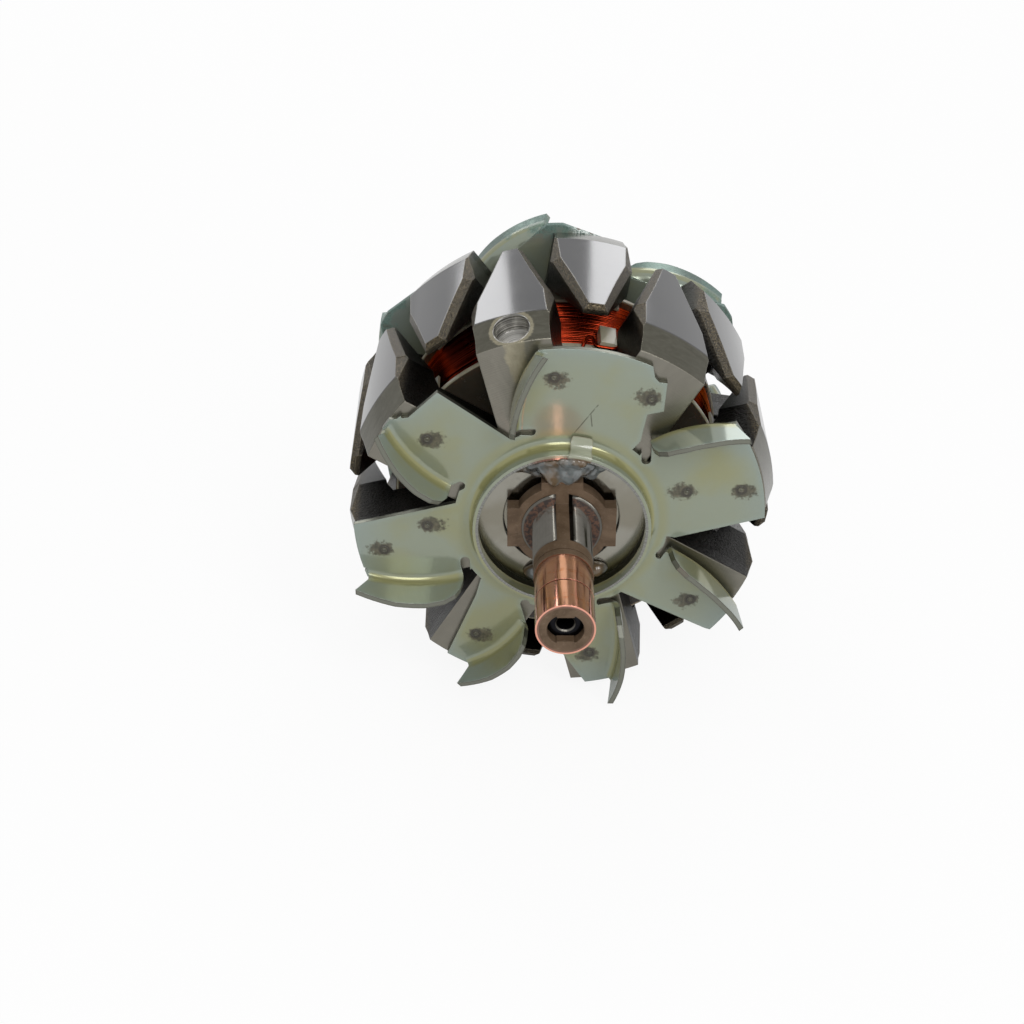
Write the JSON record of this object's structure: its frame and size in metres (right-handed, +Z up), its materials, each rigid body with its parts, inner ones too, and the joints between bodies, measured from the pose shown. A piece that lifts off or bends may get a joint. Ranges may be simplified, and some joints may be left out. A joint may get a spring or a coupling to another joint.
{
  "type": "alternator rotor",
  "caption": "Claw-pole alternator rotor with field coil, pressed cooling fans, stepped shaft and copper slip rings.",
  "frame": {"origin": "on the shaft axis, at the middle of the rear bearing journal", "axes": "the shaft lies along Y: the slip rings point to -Y and the threaded drive end to +Y; Z is up"},
  "size_m": [0.11, 0.1676, 0.11],
  "materials": {
    "shaft_steel": "turned",
    "pole_iron": "forged, ground on the claw faces",
    "bobbin_nylon": "moulded",
    "coil_wire": "red enamelled copper wire",
    "fan_steel": "passivated sheet, pale green grey",
    "moulding_resin": "brown moulded resin",
    "ring_copper": "turned copper",
    "dab_resin": "cloudy grey resin"
  },
  "bodies": {
    "root": {"shaft": "shaft_steel", "rear_pole_half": "pole_iron", "front_pole_half": "pole_iron", "bobbin": "bobbin_nylon", "field_coil": "coil_wire", "coil_tail": "coil_wire", "rear_fan": "fan_steel", "front_fan": "fan_steel", "slip_ring_moulding": "moulding_resin", "outer_slip_ring": "ring_copper", "inner_slip_ring": "ring_copper", "drive_spacer": "shaft_steel", "top_terminal": "ring_copper", "bottom_terminal": "ring_copper", "top_resin_patch": "dab_resin", "bottom_resin_patch": "dab_resin", "left_resin_dab": "dab_resin", "right_resin_dab": "dab_resin"}
  },
  "joints": []
}
